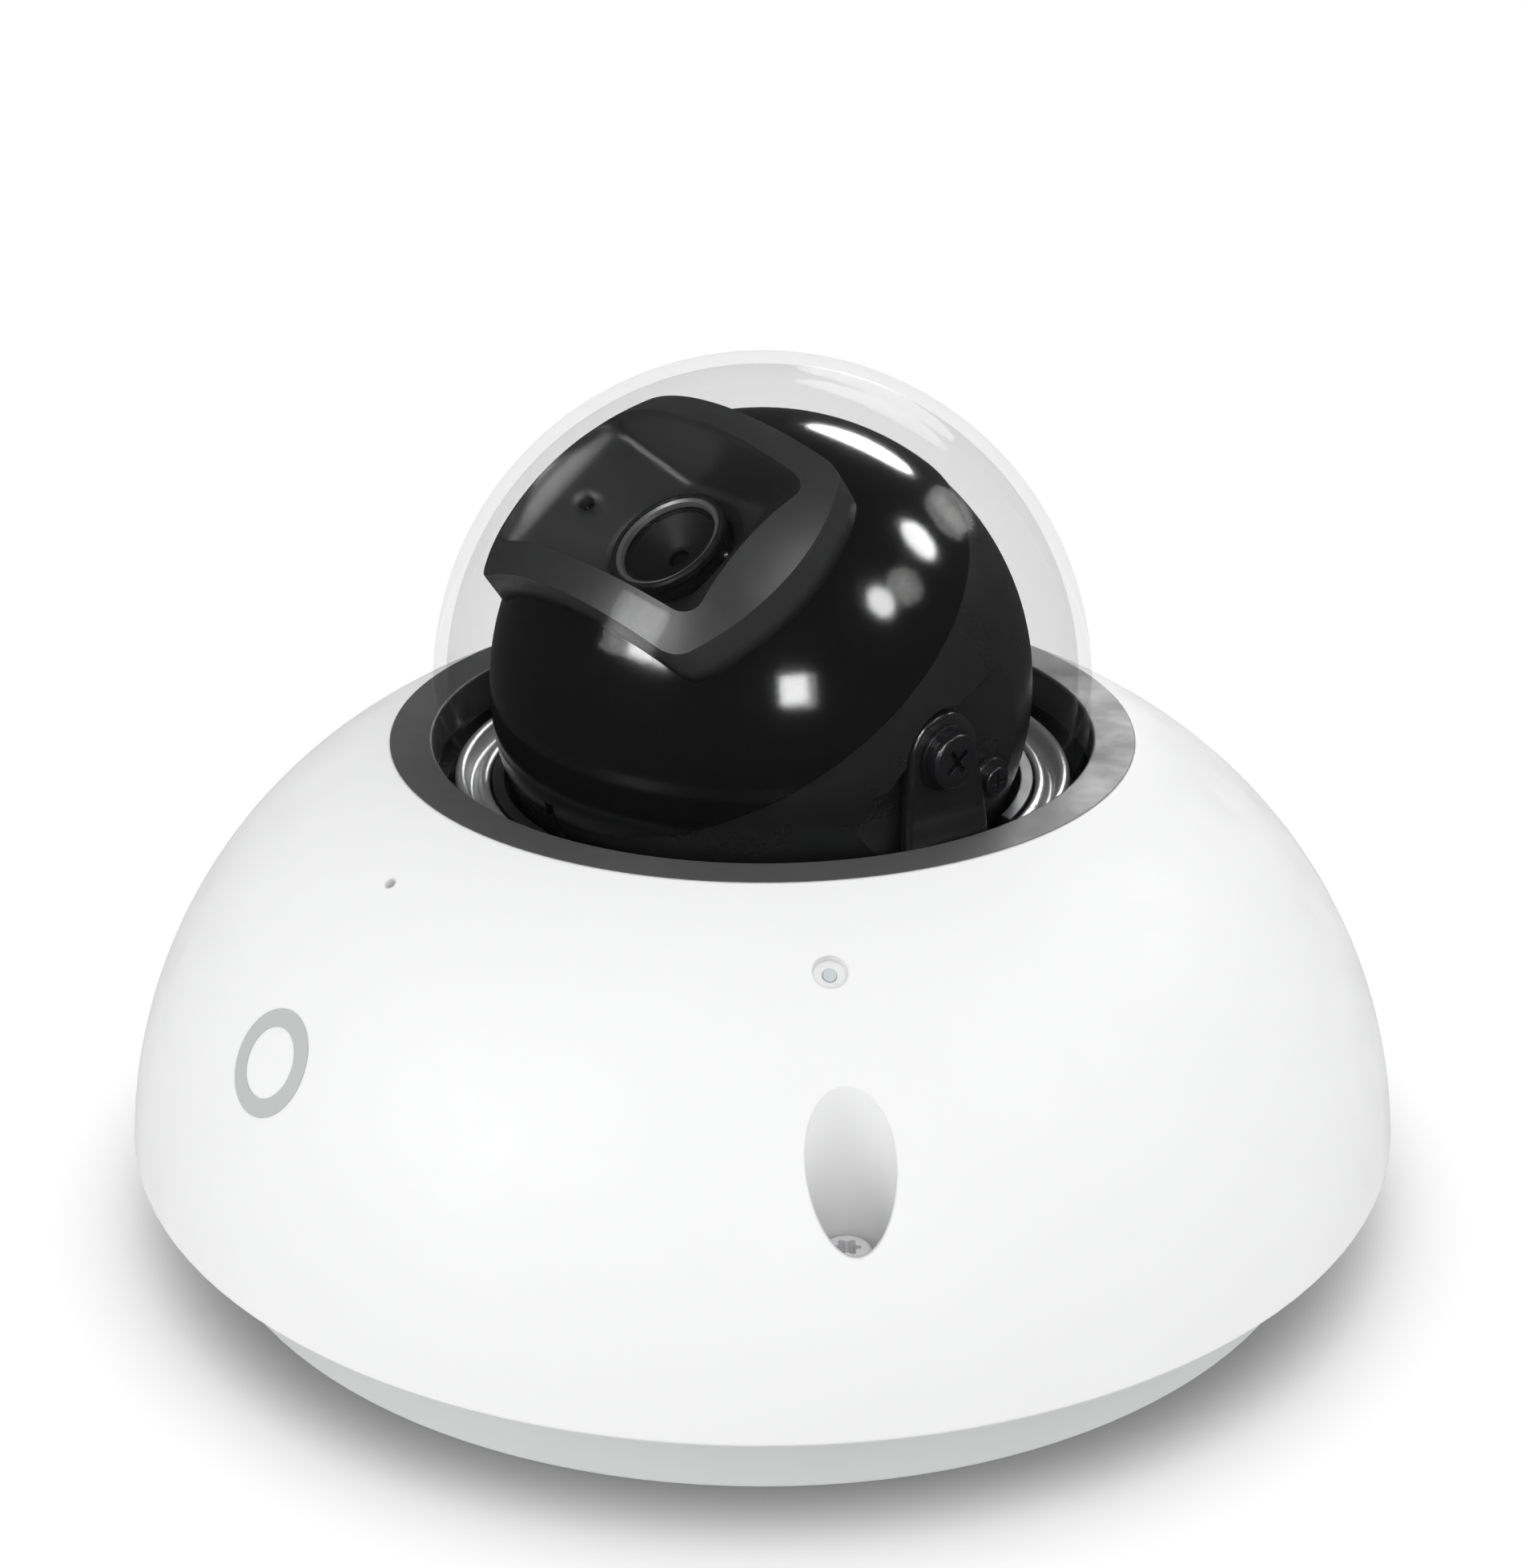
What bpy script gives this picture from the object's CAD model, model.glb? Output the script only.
import math

import bpy
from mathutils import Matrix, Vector


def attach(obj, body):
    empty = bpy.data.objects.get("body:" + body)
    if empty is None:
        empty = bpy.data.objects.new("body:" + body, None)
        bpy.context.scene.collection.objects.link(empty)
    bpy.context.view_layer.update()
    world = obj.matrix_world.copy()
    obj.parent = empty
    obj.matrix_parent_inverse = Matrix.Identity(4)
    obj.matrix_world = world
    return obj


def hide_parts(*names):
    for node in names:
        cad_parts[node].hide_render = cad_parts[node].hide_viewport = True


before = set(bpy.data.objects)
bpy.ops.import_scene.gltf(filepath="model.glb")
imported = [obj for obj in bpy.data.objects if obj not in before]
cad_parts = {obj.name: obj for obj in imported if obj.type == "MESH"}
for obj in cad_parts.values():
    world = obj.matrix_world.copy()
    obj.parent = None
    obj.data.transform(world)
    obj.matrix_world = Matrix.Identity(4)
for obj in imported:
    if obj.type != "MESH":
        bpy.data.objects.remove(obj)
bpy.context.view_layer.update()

MM = 0.001
EYE = Vector((0.0, 0.0, 0.05944))      # centre of the ball, as in the CAD
PAN, TILT = math.radians(-49.3), math.radians(55.3)     # where the head points at rest
HEAD_T = Vector((math.cos(PAN), math.sin(PAN), 0.0))    # along the hood
HEAD_N = Vector((math.sin(PAN) * math.cos(TILT), -math.cos(PAN) * math.cos(TILT), math.sin(TILT)))
HEAD_U = HEAD_N.cross(HEAD_T)          # across the hood, with HEAD_N out through the lens

# The hood, in mm from the centre of the ball
HOOD_OUTER_R = 33.2                    # its face is part of a ball
HOOD_END_R = 21.1                      # its two round ends
RECESS_END = 16.4                      # the outer end of its recess, which leans
LEAN_START = 14.2                      # how far along the hood the lean begins
LEAN_HALF_WIDTH = 10.6                 # how far across the hood it goes
LEAN_LIMIT = 26.2                      # nothing below this is moved
LEAN_FOOT, LEAN_TOP = 26.5, 28.2       # the lean grows from none to all of it between these heights
LEAN_MOST, LEAN_SHARE = 1.3, 0.7       # and is at most this far, or this share of the rim outside it
FACE_SLACK = 0.05                      # how far inside its face a vertex still counts as on it

MIX_SOCKETS = {"VECTOR": (4, 5, 1), "RGBA": (6, 7, 2)}     # a Mix node's two inputs and its result
LAMP_DISTANCE = 1.0                    # metres from the ball to each area light


# ------------------------------------------------------------------ node helpers

class Shader:
    """A material's node tree with a few short ways to add and join nodes."""

    def __init__(self, name):
        self.material = bpy.data.materials.new(name)
        self.material.use_nodes = True
        self.nodes = self.material.node_tree.nodes
        self.links = self.material.node_tree.links
        self.nodes.clear()
        self.output = self.nodes.new("ShaderNodeOutputMaterial")
        self.place = self.nodes.new("ShaderNodeTexCoord").outputs["Object"]

    def add(self, kind, **settings):
        node = self.nodes.new(kind)
        for key, value in settings.items():
            setattr(node, key, value)
        return node

    def join(self, source, target):
        self.links.new(source, target)

    def noise(self, scale, detail=3.0, rough=0.55, stretch=None):
        node = self.add("ShaderNodeTexNoise")
        node.inputs["Scale"].default_value = scale
        node.inputs["Detail"].default_value = detail
        node.inputs["Roughness"].default_value = rough
        if stretch is None:
            self.join(self.place, node.inputs["Vector"])
        else:
            mapping = self.add("ShaderNodeMapping")
            mapping.inputs["Scale"].default_value = stretch
            self.join(self.place, mapping.inputs["Vector"])
            self.join(mapping.outputs["Vector"], node.inputs["Vector"])
        return node.outputs["Fac"]

    def spread(self, source, low, high, start=0.35, end=0.65):
        """source, from start to end, becomes low to high."""
        node = self.add("ShaderNodeMapRange")
        node.inputs["From Min"].default_value = start
        node.inputs["From Max"].default_value = end
        node.inputs["To Min"].default_value = low
        node.inputs["To Max"].default_value = high
        self.join(source, node.inputs["Value"])
        return node.outputs["Result"]

    def mix(self, kind, factor, first, second):
        node = self.add("ShaderNodeMix", data_type=kind)
        *inputs, result = MIX_SOCKETS[kind]
        self.join(factor, node.inputs["Factor"])
        for value, key in zip((first, second), inputs):
            if isinstance(value, tuple):
                node.inputs[key].default_value = (*value, 1.0)
            else:
                self.join(value, node.inputs[key])
        return node.outputs[result]

    def clouded(self, scale, colour, other):
        """One colour drifting into the other in soft patches."""
        factor = self.spread(self.noise(scale, 4.0, 0.6), 0.0, 1.0, 0.3, 0.7)
        return self.mix("RGBA", factor, colour, other)

    def smudged(self, low, high, stretch=None):
        """Roughness from low to high, in smudges."""
        return self.spread(self.noise(140.0, 5.0, 0.65, stretch), low, high, 0.3, 0.7)

    def maths(self, operation, first, second):
        node = self.add("ShaderNodeMath", operation=operation)
        self.join(first, node.inputs[0])
        self.join(second, node.inputs[1])
        return node.outputs["Value"]

    def bump(self, height, strength, distance, normal=None):
        node = self.add("ShaderNodeBump")
        node.inputs["Strength"].default_value = strength
        node.inputs["Distance"].default_value = distance
        self.join(height, node.inputs["Height"])
        if normal is not None:
            self.join(normal, node.inputs["Normal"])
        return node.outputs["Normal"]

    def edges(self, radius):
        """About 1 along sharp edges and 0 on flat stretches."""
        soft = self.add("ShaderNodeBevel", samples=4)
        soft.inputs["Radius"].default_value = radius
        plain = self.add("ShaderNodeNewGeometry").outputs["Normal"]
        dot = self.add("ShaderNodeVectorMath", operation="DOT_PRODUCT")
        self.join(soft.outputs["Normal"], dot.inputs[0])
        self.join(plain, dot.inputs[1])
        return self.spread(dot.outputs["Value"], 1.0, 0.0, 0.82, 0.99), soft.outputs["Normal"]

    def principled(self, **values):
        node = self.add("ShaderNodeBsdfPrincipled")
        for key, value in values.items():
            node.inputs[key.replace("_", " ")].default_value = value
        self.join(node.outputs["BSDF"], self.output.inputs["Surface"])
        return node


def grained(name, colour, other, rough, grain=2600.0, grain_depth=0.02, wear=None, edge=0.25,
            metal=0.0, specular=0.5, brushed=None):
    """Moulded plastic, paint or metal: cloudy colour, uneven polish, fine grain, worn edges.

    grain_depth and edge, the width of the wear, are in mm.
    """
    s = Shader(name)
    shader = s.principled(Metallic=metal, Specular_IOR_Level=specular)
    base = s.clouded(55.0, colour, other)
    rounded = None
    if wear is not None:
        mask, rounded = s.edges(edge * MM)
        broken = s.spread(s.noise(900.0, 5.0, 0.7), 0.0, 0.8, 0.35, 0.7)
        base = s.mix("RGBA", s.maths("MULTIPLY", mask, broken), base, wear)
    s.join(base, shader.inputs["Base Color"])
    s.join(s.smudged(rough * 0.82, rough * 1.2, brushed), shader.inputs["Roughness"])
    fine = s.noise(grain, 2.0, 0.5, brushed)
    s.join(s.bump(fine, 0.35, grain_depth * MM, rounded), shader.inputs["Normal"])
    return s.material


def clear_dome(name):
    """Clear polycarbonate: nearly all see-through, a little darker where it is seen edge-on."""
    s = Shader(name)
    shader = s.principled(IOR=1.5, Specular_IOR_Level=0.42)
    shader.inputs["Base Color"].default_value = (0.008, 0.008, 0.009, 1.0)
    facing = s.add("ShaderNodeLayerWeight")
    facing.inputs["Blend"].default_value = 0.12
    edge_on = s.spread(facing.outputs["Facing"], 0.078, 0.20, 0.0, 1.0)
    drift = s.spread(s.noise(30.0, 3.0), -0.003, 0.003)
    s.join(s.maths("ADD", edge_on, drift), shader.inputs["Alpha"])
    s.join(s.spread(s.noise(60.0, 4.0), 0.085, 0.100), shader.inputs["Roughness"])
    return s.material


def hood_finish(name):
    """Satin dark grey, with the inside corners of the recess softly rounded."""
    s = Shader(name)
    shader = s.principled(Specular_IOR_Level=0.34)
    base = s.clouded(60.0, (0.036, 0.036, 0.0375), (0.032, 0.032, 0.0333))
    s.join(base, shader.inputs["Base Color"])
    s.join(s.smudged(0.33, 0.42), shader.inputs["Roughness"])

    from_eye = s.add("ShaderNodeVectorMath", operation="DISTANCE")
    s.join(s.place, from_eye.inputs[0])
    from_eye.inputs[1].default_value = EYE
    deep, shallow = (HOOD_OUTER_R - 0.9) * MM, (HOOD_OUTER_R - 0.2) * MM
    inside = s.spread(from_eye.outputs["Value"], 1.0, 0.0, deep, shallow)
    rounded = s.add("ShaderNodeBevel", samples=12)
    rounded.inputs["Radius"].default_value = 1.9 * MM
    crisp = s.add("ShaderNodeNewGeometry").outputs["Normal"]
    normal = s.mix("VECTOR", inside, crisp, rounded.outputs["Normal"])
    s.join(s.bump(s.noise(1500.0, 2.0, 0.5), 0.35, 0.004 * MM, normal), shader.inputs["Normal"])
    return s.material


def lens_glass(name, tint, alpha):
    """Coated glass: dark, mirror-smooth, with a faint tinted sheen."""
    s = Shader(name)
    shader = s.principled(IOR=1.52, Specular_IOR_Level=0.35, Alpha=alpha)
    weight = s.add("ShaderNodeLayerWeight")
    weight.inputs["Blend"].default_value = 0.35
    sheen = tuple(2.5 * part for part in tint)
    s.join(s.mix("RGBA", weight.outputs["Facing"], tint, sheen), shader.inputs["Base Color"])
    s.join(s.spread(s.noise(400.0, 3.0), 0.01, 0.04), shader.inputs["Roughness"])
    return s.material


def give(material, *nodes):
    """The CAD nodes take this material."""
    for name in nodes:
        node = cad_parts[name]
        node.data.materials.clear()
        node.data.materials.append(material)


# ------------------------------------------------------------------ materials

BRUSH = (1.0, 1.0, 14.0)               # stretches the noise of brushed metal

give(grained("white_cover", (0.790, 0.791, 0.792), (0.782, 0.783, 0.784), 0.50, 1900.0, 0.006,
             wear=(0.84, 0.84, 0.84), edge=0.4, specular=0.18), "cover_shell")
give(grained("light_grey_base", (0.585, 0.592, 0.590), (0.570, 0.577, 0.575), 0.5, 1900.0, 0.012,
             wear=(0.70, 0.70, 0.71), specular=0.25), "base_housing", "base_plate")
give(grained("pale_grey_print", (0.470, 0.478, 0.480), (0.455, 0.463, 0.465), 0.5, specular=0.1),
     "cover_mark")
give(grained("satin_dark_ring", (0.086, 0.086, 0.087), (0.078, 0.078, 0.079), 0.46, 1500.0, 0.005,
             wear=(0.17, 0.17, 0.175), specular=0.22), "trim_ring")
give(clear_dome("clear_dome"), "dome")
give(grained("black_rubber", (0.020, 0.020, 0.020), (0.028, 0.028, 0.027), 0.7, 1200.0, 0.04), "dome_seal",
     "cable_grommet")
give(grained("grey_rubber", (0.16, 0.16, 0.16), (0.13, 0.13, 0.13), 0.7, 1200.0, 0.04), "base_gasket")
give(grained("dark_moulding", (0.030, 0.030, 0.032), (0.024, 0.024, 0.026), 0.5, 1500.0, 0.03,
             wear=(0.07, 0.07, 0.07), specular=0.35), "dome_clamp_ring", "reset_switch", "main_chip",
     "memory_card", "pan_retainer", "lens_holder")
give(grained("white_screw", (0.80, 0.80, 0.80), (0.76, 0.76, 0.77), 0.4, 1500.0, 0.006,
             wear=(0.60, 0.60, 0.61), edge=0.12, specular=0.3), "cover_screws")
give(grained("light_guide", (0.60, 0.63, 0.64), (0.56, 0.59, 0.60), 0.2, 1500.0, 0.003), "light_pipe")
give(grained("small_can", (0.50, 0.51, 0.53), (0.44, 0.45, 0.47), 0.35, metal=1.0), "microphone")
give(grained("satin_metallic_liner", (0.50, 0.502, 0.506), (0.44, 0.442, 0.446), 0.36, 1800.0, 0.004,
             wear=(0.60, 0.60, 0.61), metal=0.4, edge=0.4), "inner_liner")
give(grained("satin_black_table", (0.055, 0.056, 0.060), (0.040, 0.041, 0.044), 0.38, 1500.0, 0.012,
             wear=(0.14, 0.14, 0.15), metal=0.3, specular=0.4), "pan_turntable")
give(grained("satin_black_arm", (0.0200, 0.0200, 0.0210), (0.0170, 0.0170, 0.0180), 0.20, 1500.0, 0.003,
             wear=(0.06, 0.06, 0.063), edge=0.3), "yoke_arm_right", "yoke_arm_left")
give(grained("black_oxide_screw", (0.020, 0.020, 0.022), (0.015, 0.015, 0.017), 0.26, 1800.0, 0.004,
             wear=(0.10, 0.10, 0.105), metal=0.3, edge=0.12), "pivot_screws", "pivot_washers", "yoke_screws",
     "tilt_lock_screws", "liner_screws", "focus_pin")
give(grained("satin_black_shell", (0.0170, 0.0170, 0.0178), (0.0150, 0.0150, 0.0158), 0.30, 1600.0, 0.004,
             specular=0.4), "rear_shell")
give(grained("gloss_black_cap", (0.0062, 0.0062, 0.0065), (0.0054, 0.0054, 0.0057), 0.115, 700.0, 0.0003,
             specular=0.42), "front_cap")
give(hood_finish("satin_grey_hood"), "hood")
give(lens_glass("tinted_window", (0.004, 0.004, 0.005), 1.0), "light_sensor")
give(grained("anodised_black", (0.028, 0.028, 0.030), (0.022, 0.022, 0.024), 0.26, 2200.0, 0.004,
             wear=(0.08, 0.08, 0.085), metal=0.3, edge=0.15), "lens_barrel")
give(grained("satin_lens_ring", (0.17, 0.17, 0.172), (0.15, 0.15, 0.152), 0.34, 2200.0, 0.003,
             wear=(0.24, 0.24, 0.245), metal=0.3, edge=0.1), "lens_ring")
give(grained("blackened_baffle", (0.016, 0.016, 0.0165), (0.013, 0.013, 0.0135), 0.5, specular=0.25),
     "aperture_cone")
give(lens_glass("coated_front_glass", (0.004, 0.004, 0.0042), 0.06), "front_glass")
give(lens_glass("coated_inner_glass", (0.005, 0.005, 0.006), 0.85), "inner_glass")
give(lens_glass("infrared_filter", (0.10, 0.32, 0.36), 0.5), "filter_glass")
give(grained("solder_resist", (0.012, 0.10, 0.045), (0.010, 0.085, 0.038), 0.32, 900.0, 0.02,
             wear=(0.25, 0.22, 0.10), edge=0.2), "main_board", "sensor_board")
give(grained("plated_steel", (0.56, 0.56, 0.57), (0.48, 0.48, 0.49), 0.30, 1600.0, 0.01, metal=1.0, edge=0.12,
             wear=(0.75, 0.75, 0.76)), "board_screws", "terminal_screws", "chassis_screws", "clamp_screws",
     "sensor_screws", "roll_clip", "filter_frame", "card_slot", "network_jack")
give(grained("zinc_sheet", (0.52, 0.53, 0.54), (0.44, 0.45, 0.46), 0.34, 900.0, 0.02, metal=1.0,
             brushed=BRUSH, wear=(0.7, 0.7, 0.7)), "chassis_plate")
give(grained("extruded_aluminium", (0.60, 0.61, 0.63), (0.52, 0.53, 0.55), 0.38, 900.0, 0.02, metal=1.0,
             brushed=BRUSH), "heat_sink")
give(grained("turned_brass", (0.72, 0.52, 0.22), (0.62, 0.44, 0.18), 0.32, 2600.0, 0.04, metal=1.0),
     "cover_inserts", "chassis_standoffs")
give(grained("green_moulding", (0.05, 0.26, 0.09), (0.04, 0.22, 0.08), 0.42, wear=(0.12, 0.35, 0.16)),
     "power_terminal")
give(grained("natural_nylon", (0.72, 0.70, 0.62), (0.66, 0.64, 0.57), 0.5), "ribbon_socket", "sensor_socket",
     "thrust_washer")
give(grained("red_button", (0.42, 0.03, 0.025), (0.36, 0.025, 0.02), 0.3), "reset_button")
give(grained("sensor_die", (0.03, 0.04, 0.06), (0.02, 0.03, 0.05), 0.12), "image_sensor")


# ------------------------------------------------------------------ pieces made here

def share(value, start, end):
    """0 before start, 1 after end, and even in between."""
    return min(max((value - start) / (end - start), 0.0), 1.0)


def leaning_hood():
    """The hood with the outer end of its recess leaning outwards, so that it catches the light."""
    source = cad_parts["hood"]
    mesh = source.data.copy()
    hood = bpy.data.objects.new("hood_leaning", mesh)
    bpy.context.collection.objects.link(hood)
    for vertex in mesh.vertices:
        place = vertex.co - EYE
        along, up, out = (place.dot(axis) / MM for axis in (HEAD_T, HEAD_U, HEAD_N))
        if along > -LEAN_START or abs(up) > LEAN_HALF_WIDTH or out < LEAN_LIMIT:
            continue
        on_face = place.length > (HOOD_OUTER_R - FACE_SLACK) * MM
        hood_end = math.sqrt(HOOD_END_R ** 2 - up ** 2)
        rim = hood_end - RECESS_END
        shift = min(LEAN_MOST, LEAN_SHARE * rim)
        shift *= share(-along, LEAN_START, RECESS_END)
        shift *= share(out, LEAN_FOOT, LEAN_TOP)
        if on_face:
            shift *= share(hood_end + along, 0.0, rim)      # the hood's outline stays where it is
        along -= shift
        if on_face:
            out = math.sqrt(HOOD_OUTER_R ** 2 - along ** 2 - up ** 2)
        vertex.co = EYE + (HEAD_T * along + HEAD_U * up + HEAD_N * out) * MM
    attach(hood, "roll")
    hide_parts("hood")
    return hood


# ------------------------------------------------------------------ floor, light and camera

def floor():
    """A plain pale floor, a hair below the base, that leaves no reflection on the object."""
    bpy.ops.mesh.primitive_grid_add(x_subdivisions=40, y_subdivisions=40, size=12.0,
                                    location=(0, 0, -0.00005))
    ground = bpy.context.object
    ground.name = "pale_floor"
    s = Shader("pale_floor")
    shader = s.principled(Roughness=0.9, Specular_IOR_Level=0.1)
    patches = s.spread(s.noise(3.0), 0.0, 1.0)
    tone = s.mix("RGBA", patches, (0.345, 0.345, 0.345), (0.342, 0.342, 0.342))
    s.join(tone, shader.inputs["Base Color"])
    ground.data.materials.append(s.material)
    ground.visible_glossy = False
    ground.visible_diffuse = False
    return ground


def lamp(name, azimuth, elevation, radiance, width, height, shape="ELLIPSE"):
    """An area light seen from the ball at an azimuth from -Y towards +X, in degrees."""
    a, e = math.radians(azimuth), math.radians(elevation)
    towards = Vector((math.sin(a) * math.cos(e), -math.cos(a) * math.cos(e), math.sin(e)))
    data = bpy.data.lights.new(name, "AREA")
    data.shape = shape
    data.size, data.size_y = width, height
    area = width * height * (math.pi / 4 if shape == "ELLIPSE" else 1.0)
    data.energy = radiance * math.pi * area
    light = bpy.data.objects.new(name, data)
    bpy.context.collection.objects.link(light)
    light.location = EYE + towards * LAMP_DISTANCE
    light.rotation_euler = towards.to_track_quat("Z", "Y").to_euler()
    return light


def soft_box(name, azimuth, elevation, radiance, width, height, shape="ELLIPSE"):
    """A bright box that shows only as a highlight. The even light of the room does the rest."""
    light = lamp(name, azimuth, elevation, radiance, width, height, shape)
    light.visible_diffuse = False
    return light


def only_on(light, name, *objects):
    """The light shines on these objects alone."""
    lit = bpy.data.collections.new(name)
    for thing in objects:
        lit.objects.link(thing)
    light.light_linking.receiver_collection = lit


def all_but(light, name, thing):
    """The light shines on everything except this object."""
    only_on(light, name, thing)
    light.light_linking.receiver_collection.collection_objects[0].light_linking.link_state = "EXCLUDE"


def ceiling(ground, strength, spread):
    """Even light from a bright ceiling, which gives the floor its soft shadow."""
    data = bpy.data.lights.new("ceiling", "SUN")
    data.energy = strength * math.pi
    data.angle = math.radians(spread)
    light = bpy.data.objects.new("ceiling", data)
    bpy.context.collection.objects.link(light)
    light.visible_glossy = False
    only_on(light, "lit_from_above", ground)


def fill(ground, azimuth, elevation, radiance, width):
    """A broad dim light that leaves no highlight, and doesn't reach the floor."""
    light = lamp(f"fill_{azimuth}", azimuth, elevation, radiance, width, width)
    light.visible_glossy = False
    all_but(light, f"fill_{azimuth}_objects", ground)


def surroundings(seen, above, below, mirrored):
    """White behind the object, even light from all round, and dim walls in reflections."""
    world = bpy.data.worlds.new("studio")
    bpy.context.scene.world = world
    world.use_nodes = True
    nodes, links = world.node_tree.nodes, world.node_tree.links
    nodes.clear()
    output = nodes.new("ShaderNodeOutputWorld")
    path = nodes.new("ShaderNodeLightPath")
    split = nodes.new("ShaderNodeSeparateXYZ")
    height = nodes.new("ShaderNodeMapRange")
    links.new(nodes.new("ShaderNodeTexCoord").outputs["Generated"], split.inputs[0])
    links.new(split.outputs["Z"], height.inputs["Value"])
    height.inputs["From Min"].default_value = -0.1
    height.inputs["From Max"].default_value = 0.1
    height.inputs["To Min"].default_value = below
    height.inputs["To Max"].default_value = above

    def background(strength):
        node = nodes.new("ShaderNodeBackground")
        node.inputs["Color"].default_value = (1, 1, 1, 1)
        node.inputs["Strength"].default_value = strength
        return node

    def choose(ray, others, these):
        node = nodes.new("ShaderNodeMixShader")
        links.new(path.outputs[ray], node.inputs["Fac"])
        links.new(others.outputs[0], node.inputs[1])
        links.new(these.outputs[0], node.inputs[2])
        return node

    even = background(1.0)
    links.new(height.outputs["Result"], even.inputs["Strength"])
    unseen = choose("Is Glossy Ray", even, background(mirrored))
    links.new(choose("Is Camera Ray", unseen, background(seen)).outputs[0], output.inputs["Surface"])


def camera():
    """From straight in front and about 23 degrees up, as in the photograph."""
    elevation, distance = math.radians(23.08), 0.3125
    target = Vector((0.0, 0.0, 0.0471))
    back = Vector((0.0, -math.cos(elevation), math.sin(elevation)))
    data = bpy.data.cameras.new("view")
    data.lens = 63.98
    data.sensor_width = 36.0
    data.clip_start = 0.01
    body = bpy.data.objects.new("view", data)
    bpy.context.collection.objects.link(body)
    body.location = target + back * distance
    body.rotation_euler = back.to_track_quat("Z", "Y").to_euler()
    bpy.context.scene.camera = body


hood = leaning_hood()
ground = floor()
surroundings(seen=1.0, above=0.93, below=0.90, mirrored=0.07)
ceiling(ground, strength=2.22, spread=80.0)

# azimuth and elevation in degrees, radiance, then width (and height) in metres
for numbers in ((10, 22, 0.7, 0.7), (7, 54, 1.4, 0.5), (-58, 9, 1.3, 0.8), (84, 20, 1.0, 0.8)):
    fill(ground, *numbers)
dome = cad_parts["dome"]
all_but(soft_box("box_back_right", 162, 22, 30.0, 0.34, 0.22), "not_the_dome", dome)
only_on(soft_box("box_on_dome", 162, 22, 9.0, 0.44, 0.22), "dome_accent", dome)
soft_box("box_right", 114, 36, 30.0, 0.24, 0.22)
soft_box("box_front_right", 67, 39, 30.0, 0.20, 0.20)
soft_box("box_front", 13, 17, 30.0, 0.20, 0.20, "RECTANGLE")
soft_box("box_left", -52, 30, 30.0, 0.32, 0.32, "RECTANGLE")
arms = [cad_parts[name] for name in ("yoke_arm_right", "yoke_arm_left", "pivot_screws",
                                         "pivot_washers", "tilt_lock_screws", "focus_pin")]
only_on(soft_box("box_on_arms", 6, 44, 60.0, 0.34, 0.34), "arm_accent", *arms)
only_on(soft_box("box_on_hood", 34, 44, 19.0, 0.50, 0.60), "hood_accent", hood)
camera()
bpy.context.scene.view_settings.view_transform = "Standard"
